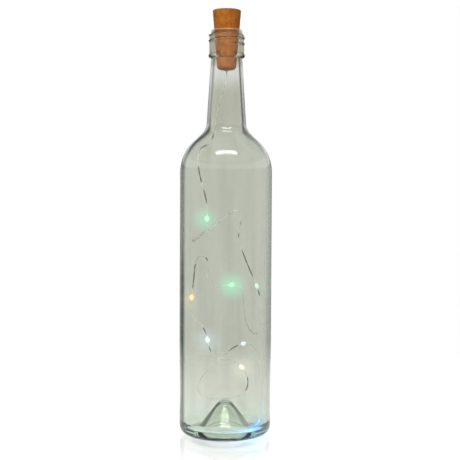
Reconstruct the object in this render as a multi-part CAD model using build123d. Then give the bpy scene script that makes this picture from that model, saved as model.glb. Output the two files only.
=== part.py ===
from build123d import *
import math
import os

# Cork bottle light: a clear wine bottle with a cork-shaped battery stopper in its neck, and a thin
# wire with small lights that hangs from the stopper and lies inside the bottle.
# Millimetres. Z is the bottle's axis, upwards, and Z = 0 is the plane that the foot ring stands on.

# Bottle, outside
BOTTLE_HEIGHT = 326.5
BODY_DIAMETER = 74.0
HEEL_ROUND = 8.5
FOOT_RING_WIDTH = 2.0
FOOT_RING_ROUND = 2.6
SHOULDER_HEIGHT = 227.0
SHOULDER_SLOPE = 43.0
SHOULDER_ROUND = 34.0
NECK_ROUND = 12.0
NECK_TOP_DIAMETER = 25.2
NECK_TAPER = 3.6

# Bottle finish, from the lip down to the bead
LIP_DIAMETER = 25.4
LIP_HEIGHT = 4.0
LIP_ROUND = 1.2
FINISH_DIAMETER = 28.0
FINISH_HEIGHT = 23.0
FINISH_ROUND = 0.8
BEAD_DIAMETER = 29.2
BEAD_HEIGHT = 4.2
BEAD_FLANK = 1.2
BEAD_ROUND = 1.5

# Bottle, inside
BODY_WALL = 3.8
NECK_WALL = 3.0
BORE_DIAMETER = 20.4
BORE_ROUND = 34.0
MOUTH_ROUND = 0.8
CHANNEL_HEIGHT = 6.5
CHANNEL_ROUND = 6.0

# Punt: the bell-shaped rise in the bottle's base
PUNT_HEIGHT = 23.0
PUNT_CROWN_DIAMETER = 0.4
PUNT_CROWN_ROUND = 4.5
PUNT_GLASS = 4.5
PUNT_SKIRT_WIDTH = 8.5
PUNT_SKIRT_RISE = 2.6
PUNT_FLARE_ROUND = 5.0

# Cork-shaped stopper
CORK_LENGTH = 48.0
CORK_TOP_DIAMETER = 22.8
CORK_BOTTOM_DIAMETER = 15.2
CORK_EDGE_ROUND = 0.9
CORK_FOOT_ROUND = 3.0
CORK_SEAT_CLEARANCE = 0.1
CAP_LENGTH = 14.5
SPIGOT_DIAMETER = 16.2
SPIGOT_LENGTH = 5.0
SPIGOT_CLEARANCE = 0.1
SPIGOT_END_CLEARANCE = 0.2

# Cells and their contacts
CELL_COUNT = 3
CELL_DIAMETER = 11.6
CELL_HEIGHT = 5.4
CELL_BUTTON_DIAMETER = 9.6
CELL_BUTTON_HEIGHT = 0.5
CELL_ROUND = 0.25
CELL_CLEARANCE = 0.3
CELL_RECESS = 0.4
CONTACT_SHEET = 0.3
CONTACT_GAP = 0.05
LEAF_DIAMETER = 10.6
LEAF_HEIGHT = 2.0
LEAF_SPAN = 8.0
LEAF_WIDTH = 3.0
STRIP_THICKNESS = 0.5
STRIP_WIDTH = 2.5
STRIP_SIDE_CLEARANCE = 0.2
BUTTON_DIAMETER = 6.0
BUTTON_TIP_DIAMETER = 2.4

# Circuit board and slide switch in the head
HEAD_THICKNESS = 7.3
BOARD_DIAMETER = 14.6
BOARD_THICKNESS = 1.0
BOARD_CLEARANCE = 0.1
RESISTOR_LENGTH = 2.0
RESISTOR_WIDTH = 1.25
RESISTOR_HEIGHT = 0.5
RESISTOR_OFFSET = 4.6
SWITCH_LENGTH = 8.6
SWITCH_WIDTH = 3.6
SWITCH_HEIGHT = 3.4
SWITCH_WALL = 0.4
SWITCH_CLEARANCE = 0.15
SWITCH_TRAVEL = 2.0
CARRIAGE_LENGTH = 4.2
CARRIAGE_HEIGHT = 1.6
POST_LENGTH = 1.8
POST_WIDTH = 1.6
KNOB_LENGTH = 3.0
KNOB_WIDTH = 2.4
KNOB_RECESS = 0.4
KNOB_ROUND = 0.35
SLIDE_CLEARANCE = 0.15
THUMB_DISH_LENGTH = 9.6
THUMB_DISH_WIDTH = 5.6
THUMB_DISH_DEPTH = 1.0

# Wire pair and lights
WIRE_DIAMETER = 1.0
WIRE_BORE_DIAMETER = 3.2
SEAL_LENGTH = 5.0
SEAL_BULGE = 0.8
DROP_LENGTH = 6.0
DROP_WAIST = 3.4
DROP_TIP = 1.6
CHIP_LENGTH = 1.6
CHIP_WIDTH = 1.0
CHIP_HEIGHT = 0.9
CHIP_SINK = 0.2
ARC_SHARE = 0.45

# Route of the wire pair below the stopper, from the seal to its far end on the bottle's floor.
# The first point is the seal's face, so it isn't in the list. The points are drawn for a bottle of
# this inside radius whose seal has its face at this height, and are stretched with the real ones.
ROUTE_INSIDE_RADIUS = 33.2
ROUTE_SEAL_HEIGHT = 293.36
ROUTE_BELOW_SEAL = [
    (0.0, -0.4, 286.5), (-3.0, -0.8, 276.0), (-6.4, -1.4, 264.0), (-8.6, -1.9, 251.0),
    (-10.6, -3.0, 239.0), (-16.8, -6.0, 231.5), (-22.4, -9.0, 224.5), (-23.8, -12.2, 214.5),
    (-21.5, -16.0, 204.0), (-17.5, -19.4, 194.0), (-14.0, -21.0, 183.0), (-15.0, -21.6, 167.5),
    (-20.8, -18.0, 159.5), (-26.6, -8.6, 156.5), (-27.0, 3.6, 157.5), (-20.4, 15.6, 161.0),
    (-9.8, 22.6, 168.0), (-0.5, 24.4, 176.0), (7.0, 23.4, 181.5), (14.4, 20.8, 179.0),
    (13.6, 20.0, 168.0), (11.8, 20.0, 157.5), (14.6, 18.6, 146.0), (19.4, 15.2, 134.5),
    (24.2, 11.0, 124.5), (28.0, 6.0, 115.0), (29.4, -1.0, 104.0), (29.0, -6.4, 92.5),
    (26.8, -12.0, 84.5), (22.0, -18.8, 83.5), (16.8, -23.2, 90.0), (14.6, -24.8, 99.0),
    (14.0, -25.0, 110.0), (11.2, -26.4, 124.2), (-2.0, -28.4, 123.2), (-10.0, -27.0, 120.5),
    (-14.6, -24.2, 126.5), (-13.4, -23.8, 135.5), (-13.8, -23.0, 145.0), (-21.2, -18.4, 146.5),
    (-23.6, -16.0, 138.0), (-24.4, -14.8, 129.0), (-25.4, -13.6, 120.0), (-27.0, -12.4, 104.5),
    (-25.0, -15.4, 95.5), (-18.2, -20.2, 91.5), (-14.4, -23.2, 84.5), (-12.6, -24.6, 75.0),
    (-9.4, -26.6, 66.5), (-2.4, -28.2, 65.5), (4.0, -27.8, 65.0), (9.2, -26.4, 62.0),
    (16.0, -23.6, 55.0), (18.2, -22.0, 44.5), (14.6, -22.8, 36.5), (5.0, -24.2, 33.5),
    (-6.4, -23.4, 32.5), (-17.0, -17.2, 33.5), (-22.6, -5.2, 37.0), (-20.8, 8.0, 43.0),
    (-12.2, 18.6, 52.0), (-0.8, 22.6, 61.5), (9.6, 22.4, 69.0), (21.4, 17.0, 72.5),
    (28.0, 8.0, 66.0), (29.6, -0.8, 54.5), (29.4, -5.8, 41.0), (28.6, -9.6, 28.0),
    (27.6, -12.4, 17.5), (25.6, -15.8, 10.2), (21.2, -21.2, 8.6),
]
# Each light sits in the middle of a run, and this is the point that its run starts at.
LIGHT_RUNS = [11, 25, 34, 43, 47, 52, 63, 70]


def ray_meet(point_a, angle_a, point_b, angle_b):
    """Where two lines of the half section cross, each by a point and its angle in degrees."""
    ax, az = point_a
    bx, bz = point_b
    ux, uz = math.cos(math.radians(angle_a)), math.sin(math.radians(angle_a))
    vx, vz = math.cos(math.radians(angle_b)), math.sin(math.radians(angle_b))
    along = ((bx - ax) * vz - (bz - az) * vx) / (ux * vz - uz * vx)
    return ax + along * ux, az + along * uz


def turned(*corners):
    """Solid of revolution about Z from a half section of (radius, height, round) corners."""
    points = [(radius, height) for radius, height, _ in corners]
    rounds = [corner_round for _, _, corner_round in corners]
    outline = FilletPolyline(*points, radius=rounds, close=True)
    return revolve(Plane.XZ * make_face(outline), Axis.Z)


def block(length, width, low, high, x=0.0, y=0.0):
    """Upright block between two heights, centred on x and y."""
    return Pos(x, y, (low + high) / 2) * Box(length, width, high - low)


def rod(diameter, low, high):
    """Upright rod on the axis between two heights."""
    return Pos(0, 0, (low + high) / 2) * Cylinder(diameter / 2, high - low)


# Heights and radii that follow from the sizes above
body_radius = BODY_DIAMETER / 2
inner_radius = body_radius - BODY_WALL
bore_radius = BORE_DIAMETER / 2
cork_lean = (CORK_TOP_DIAMETER - CORK_BOTTOM_DIAMETER) / 2 / CORK_LENGTH
seat_reach = (MOUTH_ROUND + CORK_SEAT_CLEARANCE) * math.hypot(1, cork_lean)
seat_offset = CORK_TOP_DIAMETER / 2 - bore_radius - MOUTH_ROUND + seat_reach
cork_top = BOTTLE_HEIGHT - MOUTH_ROUND + seat_offset / cork_lean
cork_bottom = cork_top - CORK_LENGTH
seam = cork_top - CAP_LENGTH
spigot_top = seam + SPIGOT_LENGTH
board_top = cork_top - HEAD_THICKNESS
board_bottom = board_top - BOARD_THICKNESS
cells_top = spigot_top - CELL_RECESS
cells_bottom = cells_top - CELL_COUNT * CELL_HEIGHT
chamber_floor = cells_bottom - LEAF_HEIGHT
chamber_radius = CELL_DIAMETER / 2 + CELL_CLEARANCE
strip_outer = chamber_radius + STRIP_THICKNESS
wire_exit = cork_bottom - SEAL_BULGE


def cork_radius(height):
    """Radius of the stopper's tapered outside at a height."""
    return CORK_TOP_DIAMETER / 2 - (cork_top - height) * cork_lean


def make_bottle():
    """Blown bottle: outside from the punt to the lip, then back down the inside."""
    finish_bottom = BOTTLE_HEIGHT - FINISH_HEIGHT
    bead_top = finish_bottom + BEAD_HEIGHT
    lip_bottom = BOTTLE_HEIGHT - LIP_HEIGHT
    neck_foot = (NECK_TOP_DIAMETER / 2, finish_bottom)
    neck_angle = 90 + NECK_TAPER
    slope_angle = 180 - SHOULDER_SLOPE
    shoulder = (body_radius, SHOULDER_HEIGHT)
    neck_base = ray_meet(shoulder, slope_angle, neck_foot, neck_angle)

    slope_shift = BODY_WALL / math.sin(math.radians(SHOULDER_SLOPE))
    neck_shift = NECK_WALL / math.cos(math.radians(NECK_TAPER))
    inner_slope = (body_radius - slope_shift, SHOULDER_HEIGHT)
    inner_neck = (neck_foot[0] - neck_shift, finish_bottom)
    inner_shoulder = ray_meet((inner_radius, 0), 90, inner_slope, slope_angle)
    inner_base = ray_meet(inner_slope, slope_angle, inner_neck, neck_angle)
    bore_end = ray_meet(inner_neck, neck_angle, (bore_radius, 0), 90)

    ring_inner = body_radius - HEEL_ROUND - FOOT_RING_WIDTH
    crown_radius = PUNT_CROWN_DIAMETER / 2
    knee = (ring_inner - PUNT_SKIRT_WIDTH, PUNT_SKIRT_RISE)
    # The punt's flank is the tangent from the knee to the round of the crown.
    knee_out = knee[0] - crown_radius
    knee_down = PUNT_HEIGHT - PUNT_CROWN_ROUND - knee[1]
    tangent_turn = math.asin(PUNT_CROWN_ROUND / math.hypot(knee_out, knee_down))
    punt_fall = math.atan2(knee_down, knee_out) + tangent_turn
    half_turn = math.tan(punt_fall / 2)
    inner_crown_round = PUNT_CROWN_ROUND + PUNT_GLASS
    crown = (crown_radius + PUNT_CROWN_ROUND * half_turn, PUNT_HEIGHT)
    inner_crown = (crown_radius + inner_crown_round * half_turn, PUNT_HEIGHT + PUNT_GLASS)
    channel = ray_meet(inner_crown, -math.degrees(punt_fall), (0, CHANNEL_HEIGHT), 0)

    return turned(
        (0, PUNT_HEIGHT, 0),
        (*crown, PUNT_CROWN_ROUND),
        (*knee, PUNT_FLARE_ROUND),
        (ring_inner, 0, FOOT_RING_ROUND),
        (body_radius, 0, HEEL_ROUND),
        (*shoulder, SHOULDER_ROUND),
        (*neck_base, NECK_ROUND),
        (*neck_foot, 0),
        (BEAD_DIAMETER / 2, finish_bottom + BEAD_FLANK, BEAD_ROUND),
        (BEAD_DIAMETER / 2, bead_top - BEAD_FLANK, BEAD_ROUND),
        (FINISH_DIAMETER / 2, bead_top, 0),
        (FINISH_DIAMETER / 2, lip_bottom, FINISH_ROUND),
        (LIP_DIAMETER / 2, lip_bottom, 0),
        (LIP_DIAMETER / 2, BOTTLE_HEIGHT, LIP_ROUND),
        (bore_radius, BOTTLE_HEIGHT, MOUTH_ROUND),
        (*bore_end, BORE_ROUND),
        (*inner_base, NECK_ROUND + NECK_WALL),
        (*inner_shoulder, SHOULDER_ROUND - BODY_WALL),
        (inner_radius, CHANNEL_HEIGHT, CHANNEL_ROUND),
        (*channel, PUNT_FLARE_ROUND),
        (*inner_crown, inner_crown_round),
        (0, PUNT_HEIGHT + PUNT_GLASS, 0),
    )


def make_cork_sleeve():
    """Lower half of the stopper: battery chamber, spigot, strip slot and the bore for the wire."""
    sleeve = turned(
        (WIRE_BORE_DIAMETER / 2, cork_bottom, 0),
        (cork_radius(cork_bottom), cork_bottom, CORK_FOOT_ROUND),
        (cork_radius(seam), seam, 0),
        (SPIGOT_DIAMETER / 2, seam, 0),
        (SPIGOT_DIAMETER / 2, spigot_top, 0),
        (chamber_radius, spigot_top, 0),
        (chamber_radius, chamber_floor, 0),
        (WIRE_BORE_DIAMETER / 2, chamber_floor, 0),
    )
    slot_width = STRIP_WIDTH + 2 * STRIP_SIDE_CLEARANCE
    slot = block(slot_width, strip_outer, chamber_floor, spigot_top, y=strip_outer / 2)
    return sleeve - slot


def make_cork_cap():
    """Head of the stopper: socket, board pocket, switch pocket, slide slot and thumb dish."""
    socket_radius = SPIGOT_DIAMETER / 2 + SPIGOT_CLEARANCE
    pocket_radius = BOARD_DIAMETER / 2 + BOARD_CLEARANCE
    socket_top = spigot_top + SPIGOT_END_CLEARANCE
    cap = turned(
        (0, board_top, 0),
        (pocket_radius, board_top, 0),
        (pocket_radius, socket_top, 0),
        (socket_radius, socket_top, 0),
        (socket_radius, seam, 0),
        (cork_radius(seam), seam, 0),
        (cork_radius(cork_top), cork_top, CORK_EDGE_ROUND),
        (0, cork_top, 0),
    )
    pocket_top = board_top + SWITCH_HEIGHT + SWITCH_CLEARANCE
    pocket_length = SWITCH_LENGTH + 2 * SWITCH_CLEARANCE
    pocket_width = SWITCH_WIDTH + 2 * SWITCH_CLEARANCE
    slide_length = KNOB_LENGTH + SWITCH_TRAVEL + 2 * SLIDE_CLEARANCE
    slide_width = KNOB_WIDTH + 2 * SLIDE_CLEARANCE
    dish = SlotOverall(THUMB_DISH_LENGTH, THUMB_DISH_WIDTH)
    cap -= block(pocket_length, pocket_width, board_top, pocket_top)
    cap -= block(slide_length, slide_width, board_top, cork_top)
    return cap - extrude(Pos(0, 0, cork_top) * dish, -THUMB_DISH_DEPTH)


def make_cell(index):
    """Button cell with its smaller face down, counted from the top of the stack."""
    top = cells_top - index * CELL_HEIGHT
    bottom = top - CELL_HEIGHT
    step = bottom + CELL_BUTTON_HEIGHT
    return turned(
        (0, bottom, 0),
        (CELL_BUTTON_DIAMETER / 2, bottom, CELL_ROUND),
        (CELL_BUTTON_DIAMETER / 2, step, 0),
        (CELL_DIAMETER / 2, step, CELL_ROUND),
        (CELL_DIAMETER / 2, top, CELL_ROUND),
        (0, top, 0),
    )


def make_negative_contact():
    """Sheet disc on the chamber's floor with an arched leaf that bears on the lowest cell."""
    half = LEAF_SPAN / 2
    ends = [(-half, 0), (half, 0)]
    inner_ends = [(CONTACT_SHEET - half, 0), (half - CONTACT_SHEET, 0)]
    outer = ThreePointArc(ends[0], (0, LEAF_HEIGHT), ends[1])
    inner = ThreePointArc(inner_ends[1], (0, LEAF_HEIGHT - CONTACT_SHEET), inner_ends[0])
    feet = Line(ends[1], inner_ends[1]) + Line(inner_ends[0], ends[0])
    band = Plane.XZ.offset(-LEAF_WIDTH / 2) * make_face(outer + inner + feet)
    leaf = Pos(0, 0, chamber_floor) * extrude(band, LEAF_WIDTH)
    return leaf + rod(LEAF_DIAMETER, chamber_floor, chamber_floor + CONTACT_SHEET)


def make_side_contact():
    """Flat strip in the slot of the chamber's wall, from its floor up to the board's rim."""
    high = board_bottom - CONTACT_GAP
    middle = strip_outer - STRIP_THICKNESS / 2
    return block(STRIP_WIDTH, STRIP_THICKNESS, chamber_floor, high, y=middle)


def make_wire_seal():
    """Resin plug in the wire's bore, with a rounded collar below the stopper."""
    wire = WIRE_DIAMETER / 2
    bore = WIRE_BORE_DIAMETER / 2
    return turned(
        (wire, wire_exit, 0),
        (bore, wire_exit, SEAL_BULGE / 2),
        (bore, cork_bottom + SEAL_LENGTH, 0),
        (wire, cork_bottom + SEAL_LENGTH, 0),
    )


def make_positive_contact():
    """Domed button under the board that bears on the top cell."""
    tip = cells_top + CONTACT_GAP
    rim = board_bottom - CONTACT_SHEET
    return turned(
        (0, tip, 0),
        (BUTTON_TIP_DIAMETER / 2, tip, CONTACT_SHEET),
        (BUTTON_DIAMETER / 2 - CONTACT_SHEET, rim, 0),
        (BUTTON_DIAMETER / 2, rim, 0),
        (BUTTON_DIAMETER / 2, board_bottom, 0),
        (0, board_bottom, 0),
    )


def make_chip_resistor():
    """Chip resistor soldered to the board's lower face."""
    low = board_bottom - RESISTOR_HEIGHT
    return block(RESISTOR_WIDTH, RESISTOR_LENGTH, low, board_bottom, x=RESISTOR_OFFSET)


def make_switch_case():
    """Thin case of the slide switch on the board, open along the slide."""
    high = board_top + SWITCH_HEIGHT
    room_length = SWITCH_LENGTH - 2 * SWITCH_WALL
    room_width = SWITCH_WIDTH - 2 * SWITCH_WALL
    opening = POST_LENGTH + SWITCH_TRAVEL + 2 * SLIDE_CLEARANCE
    case = block(SWITCH_LENGTH, SWITCH_WIDTH, board_top, high)
    case -= block(room_length, room_width, board_top + SWITCH_WALL, high - SWITCH_WALL)
    return case - block(opening, POST_WIDTH + 2 * SLIDE_CLEARANCE, high - SWITCH_WALL, high)


def make_switch_slider():
    """Carriage in the case, post through its opening and knob in the head's slot, set to on."""
    at = SWITCH_TRAVEL / 2
    case_top = board_top + SWITCH_HEIGHT
    carriage_low = board_top + SWITCH_WALL + SLIDE_CLEARANCE
    carriage_high = carriage_low + CARRIAGE_HEIGHT
    carriage_width = SWITCH_WIDTH - 2 * (SWITCH_WALL + SLIDE_CLEARANCE)
    knob_low = case_top + SLIDE_CLEARANCE
    knob_high = cork_top - KNOB_RECESS
    knob = block(KNOB_LENGTH, KNOB_WIDTH, knob_low, knob_high, x=at)
    knob = fillet(knob.faces().sort_by(Axis.Z)[-1].edges(), KNOB_ROUND)
    carriage = block(CARRIAGE_LENGTH, carriage_width, carriage_low, carriage_high, x=at)
    return carriage + block(POST_LENGTH, POST_WIDTH, carriage_high, knob_low, x=at) + knob


route_spread = inner_radius / ROUTE_INSIDE_RADIUS
route_stretch = wire_exit / ROUTE_SEAL_HEIGHT
route = [Vector(0, 0, wire_exit)]
for x, y, z in ROUTE_BELOW_SEAL:
    route.append(Vector(x * route_spread, y * route_spread, z * route_stretch))


def corner_radius(index):
    """Largest arc that the two runs at a point of the route leave room for."""
    before = route[index] - route[index - 1]
    after = route[index + 1] - route[index]
    turn = math.radians(before.get_angle(after))
    return ARC_SHARE * min(before.length, after.length) / math.tan(turn / 2)


def run_middle(index):
    """Middle of the run that starts at a point of the route."""
    return (route[index] + route[index + 1]) * 0.5


def wire_tube(name, points, first_corner, last_corner):
    """Round tube along straight runs joined by tangent arcs."""
    radii = [corner_radius(index) for index in range(first_corner, last_corner + 1)]
    path = FilletPolyline(*points, radius=radii)
    section = Plane(origin=path @ 0, z_dir=path % 0) * Circle(WIRE_DIAMETER / 2)
    tube = sweep(section, path=path)
    expected = math.pi * WIRE_DIAMETER ** 2 / 4 * path.length
    print(f"{name}: {path.length:.1f} mm long, least radius {min(radii):.1f} mm,")
    print(f"  radii {[round(radius, 1) for radius in radii]}")
    print(f"  volume {tube.volume:.2f} mm3, section times length {expected:.2f} mm3")
    return tube


def light_place(index):
    """Plane in the middle of a light's run, looking along the wire."""
    along = route[index + 1] - route[index]
    return Plane(origin=run_middle(index), z_dir=along)


def make_chip(place, wires):
    """Light chip that straddles the wire pair, cut by it."""
    low = WIRE_DIAMETER / 2 - CHIP_SINK
    chip = Pos(low + CHIP_HEIGHT / 2, 0, 0) * Box(CHIP_HEIGHT, CHIP_WIDTH, CHIP_LENGTH)
    return place * chip - wires


def make_bead(place, wires, chip):
    """Resin drop round the wire pair and its chip, swollen in the middle."""
    half = DROP_LENGTH / 2
    waist, tip = DROP_WAIST / 2, DROP_TIP / 2
    side = ThreePointArc((tip, -half), (waist, 0), (tip, half))
    core = Polyline((tip, half), (0, half), (0, -half), (tip, -half))
    drop = revolve(Plane.XZ * make_face(side + core), Axis.Z)
    return place * drop - wires - chip


first_light = LIGHT_RUNS[0]
lead_end = run_middle(first_light)
nodes = {
    "bottle": make_bottle(),
    "cork_sleeve": make_cork_sleeve(),
    "cork_cap": make_cork_cap(),
    "negative_contact": make_negative_contact(),
    "side_contact": make_side_contact(),
    "wire_seal": make_wire_seal(),
    "lead_tail": rod(WIRE_DIAMETER, wire_exit, chamber_floor),
    "circuit_board": rod(BOARD_DIAMETER, board_bottom, board_top),
    "positive_contact": make_positive_contact(),
    "chip_resistor": make_chip_resistor(),
    "switch_case": make_switch_case(),
    "switch_slider": make_switch_slider(),
    "lead_wire": wire_tube("lead_wire", route[:first_light + 1] + [lead_end], 1, first_light),
    "light_wire": wire_tube(
        "light_wire", [lead_end] + route[first_light + 1:], first_light + 1, len(route) - 2
    ),
}
for index in range(CELL_COUNT):
    nodes[f"cell_{index + 1}"] = make_cell(index)

wires = nodes["lead_wire"] + nodes["light_wire"]
for number, index in enumerate(LIGHT_RUNS, start=1):
    place = light_place(index)
    chip = make_chip(place, wires)
    nodes[f"led_chip_{number}"] = chip
    nodes[f"led_bead_{number}"] = make_bead(place, wires, chip)

os.makedirs("parts", exist_ok=True)
for name, solid in nodes.items():
    export_step(solid, f"parts/{name}.step")
print(f"{len(nodes)} nodes, stopper from {cork_bottom:.2f} to {cork_top:.2f} mm, seam {seam:.2f} mm")
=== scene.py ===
"""Looks of a cork bottle light: a clear wine bottle, its cork-shaped battery stopper and the wire of
small lights inside it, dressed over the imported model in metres, Z up."""

import logging
import math
from dataclasses import dataclass
from enum import Enum
from typing import Any, Sequence

import bmesh
import bpy
from bpy.types import Material, Mesh, Node, NodeSocket, NodeTree, Object
from mathutils import Euler, Matrix, Vector

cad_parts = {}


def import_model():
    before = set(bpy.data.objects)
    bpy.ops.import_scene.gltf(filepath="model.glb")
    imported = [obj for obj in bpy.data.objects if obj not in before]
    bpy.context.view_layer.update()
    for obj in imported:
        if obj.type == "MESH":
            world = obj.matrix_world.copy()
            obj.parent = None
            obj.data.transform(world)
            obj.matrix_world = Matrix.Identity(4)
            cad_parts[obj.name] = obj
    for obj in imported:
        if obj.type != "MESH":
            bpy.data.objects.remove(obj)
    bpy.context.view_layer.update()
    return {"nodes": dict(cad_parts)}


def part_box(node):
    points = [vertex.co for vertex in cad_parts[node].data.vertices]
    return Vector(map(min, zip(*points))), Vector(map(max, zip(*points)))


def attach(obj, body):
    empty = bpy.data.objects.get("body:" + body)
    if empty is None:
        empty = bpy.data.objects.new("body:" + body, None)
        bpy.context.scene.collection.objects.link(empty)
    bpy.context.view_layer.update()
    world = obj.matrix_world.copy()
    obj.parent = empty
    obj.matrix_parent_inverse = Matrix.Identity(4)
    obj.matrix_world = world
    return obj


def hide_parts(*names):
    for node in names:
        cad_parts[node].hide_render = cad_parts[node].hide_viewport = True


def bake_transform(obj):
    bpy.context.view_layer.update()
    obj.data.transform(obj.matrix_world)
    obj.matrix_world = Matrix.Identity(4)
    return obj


LOG = logging.getLogger("cork_bottle_light")

# Lengths in metres that are shorter than this count as none.
TINY = 1e-6

Point = tuple[float, float, float]
Colour = tuple[float, float, float]
Span = tuple[float, float]
Band = tuple[float, float, float, float]
Inputs = dict[Any, Any]

ORIGIN: Point = (0.0, 0.0, 0.0)
BLACK: Colour = (0.0, 0.0, 0.0)
WHITE: Colour = (1.0, 1.0, 1.0)

# Points of the wire pair's route after its first one, which is on the face of the stopper's seal.
ROUTE_BELOW_SEAL: list[Point] = [
    (0.0000, -0.0004, 0.2865), (-0.0030, -0.0008, 0.2760), (-0.0064, -0.0014, 0.2640),
    (-0.0088, -0.0019, 0.2510), (-0.0107, -0.0036, 0.2350), (-0.0206, -0.0078, 0.2318),
    (-0.0224, -0.0094, 0.2232), (-0.0216, -0.0128, 0.2145), (-0.0190, -0.0166, 0.2040),
    (-0.0160, -0.0198, 0.1940), (-0.0140, -0.0210, 0.1830), (-0.0150, -0.0216, 0.1675),
    (-0.0208, -0.0180, 0.1595), (-0.0266, -0.0086, 0.1565), (-0.0270, 0.0036, 0.1575),
    (-0.0204, 0.0156, 0.1610), (-0.0098, 0.0226, 0.1680), (-0.0005, 0.0244, 0.1760),
    (0.0070, 0.0234, 0.1815), (0.0144, 0.0208, 0.1790), (0.0116, 0.0200, 0.1680),
    (0.0104, 0.0200, 0.1575), (0.0146, 0.0186, 0.1460), (0.0194, 0.0152, 0.1345),
    (0.0242, 0.0110, 0.1245), (0.0280, 0.0060, 0.1150), (0.0294, -0.0010, 0.1040),
    (0.0290, -0.0064, 0.0925), (0.0268, -0.0120, 0.0845), (0.0220, -0.0188, 0.0835),
    (0.0168, -0.0232, 0.0900), (0.0146, -0.0248, 0.0990), (0.0140, -0.0250, 0.1100),
    (0.0112, -0.0264, 0.1242), (-0.0020, -0.0284, 0.1232), (-0.0100, -0.0270, 0.1205),
    (-0.0146, -0.0242, 0.1265), (-0.0134, -0.0238, 0.1355), (-0.0138, -0.0230, 0.1450),
    (-0.0212, -0.0184, 0.1465), (-0.0236, -0.0160, 0.1380), (-0.0244, -0.0148, 0.1290),
    (-0.0254, -0.0136, 0.1200), (-0.0270, -0.0124, 0.1045), (-0.0250, -0.0154, 0.0955),
    (-0.0182, -0.0202, 0.0915), (-0.0144, -0.0232, 0.0845), (-0.0126, -0.0246, 0.0750),
    (-0.0094, -0.0266, 0.0665), (-0.0024, -0.0282, 0.0655), (0.0040, -0.0278, 0.0650),
    (0.0092, -0.0264, 0.0620), (0.0160, -0.0236, 0.0550), (0.0182, -0.0220, 0.0445),
    (0.0146, -0.0228, 0.0365), (0.0050, -0.0242, 0.0335), (-0.0064, -0.0234, 0.0325),
    (-0.0170, -0.0172, 0.0335), (-0.0226, -0.0052, 0.0370), (-0.0208, 0.0080, 0.0430),
    (-0.0122, 0.0186, 0.0520), (-0.0008, 0.0226, 0.0615), (0.0096, 0.0224, 0.0690),
    (0.0214, 0.0170, 0.0725), (0.0280, 0.0080, 0.0660), (0.0296, -0.0008, 0.0545),
    (0.0294, -0.0058, 0.0410), (0.0286, -0.0096, 0.0280), (0.0276, -0.0124, 0.0175),
    (0.0256, -0.0158, 0.0102), (0.0212, -0.0212, 0.0086),
]

# Stretches where the wire is painted dark as shade, from and to in runs of the route; elsewhere it is
# painted pale as if lit.
PAINTED_SHADE_STRETCHES: list[Span] = [
    (-0.5, 0.7), (4.6, 5.0), (5.4, 6.2), (7.7, 9.1), (9.5, 10.6), (20.6, 20.9), (21.5, 21.9),
    (22.75, 24.8), (25.8, 26.3), (38.7, 39.2), (40.8, 43.0), (46.3, 47.1), (48.0, 48.6),
    (53.4, 54.7), (62.4, 63.2),
]


class LightHue(Enum):
    """Colours that the small lights shine in."""

    GREEN = ("light_green", (0.74, 1.0, 0.84), (0.20, 0.85, 0.48), 0.8)
    AMBER = ("light_amber", (1.0, 0.88, 0.62), (0.88, 0.58, 0.24), 0.35)
    COOL_WHITE = ("light_cool_white", (0.90, 0.97, 1.0), (0.60, 0.78, 0.92), 0.5)
    WARM_WHITE = ("light_warm_white", (1.0, 0.97, 0.88), (0.92, 0.84, 0.66), 0.4)
    BLUE = ("light_blue", (0.20, 0.52, 0.84), (0.03, 0.26, 0.80), 0.75)

    def __init__(self, slot: str, core: Colour, rim: Colour, spread: float) -> None:
        """Names the values of a colour.

        Args:
            slot: the record's slot for a chip of this colour.
            core: colour of the drop over its chip.
            rim: colour of the drop's thin ends.
            spread: strength of the painted glow in the glass beside the drop.
        """
        self.slot = slot
        self.core = core
        self.rim = rim
        self.spread = spread


@dataclass(frozen=True)
class Light:
    """One light on the wire: its colour, and the point of the route that starts the run it sits on."""

    run: int
    hue: LightHue


LIGHTS: list[Light] = [
    Light(11, LightHue.GREEN), Light(25, LightHue.GREEN), Light(34, LightHue.GREEN),
    Light(43, LightHue.AMBER), Light(47, LightHue.COOL_WHITE), Light(52, LightHue.WARM_WHITE),
    Light(63, LightHue.COOL_WHITE), Light(70, LightHue.BLUE),
]


class Signal:
    """What a socket gives, used in plain arithmetic; each step adds a node to the socket's tree."""

    def __init__(self, tree: "TreeWriter", socket: NodeSocket) -> None:
        """Keeps the socket and its tree."""
        self.tree = tree
        self.socket = socket

    def __add__(self, other: Any) -> "Signal":
        """Returns the sum."""
        return self.tree.math("ADD", self, other)

    def __sub__(self, other: Any) -> "Signal":
        """Returns the difference."""
        return self.tree.math("SUBTRACT", self, other)

    def __rsub__(self, other: float) -> "Signal":
        """Returns what this leaves of a plain number."""
        return self.tree.math("SUBTRACT", other, self)

    def __mul__(self, other: Any) -> "Signal":
        """Returns the product."""
        return self.tree.math("MULTIPLY", self, other)

    def __truediv__(self, other: Any) -> "Signal":
        """Returns the quotient."""
        return self.tree.math("DIVIDE", self, other)

    def above(self, limit: Any) -> "Signal":
        """Returns 1 where this is above a limit, else 0."""
        return self.tree.math("GREATER_THAN", self, limit)

    def step(self, low: float, high: float) -> "Signal":
        """Returns 0 up to low and 1 from high on, with a smooth rise between them."""
        ends = {"Value": self, "From Min": low, "From Max": high}
        return self.tree.value("ShaderNodeMapRange", ends, interpolation_type="SMOOTHSTEP")

    def band(self, start: float, low: float, high: float, end: float) -> "Signal":
        """Returns 1 from low to high, falling to 0 at start and end."""
        return self.step(start, low) * self.step(end, high)


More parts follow.
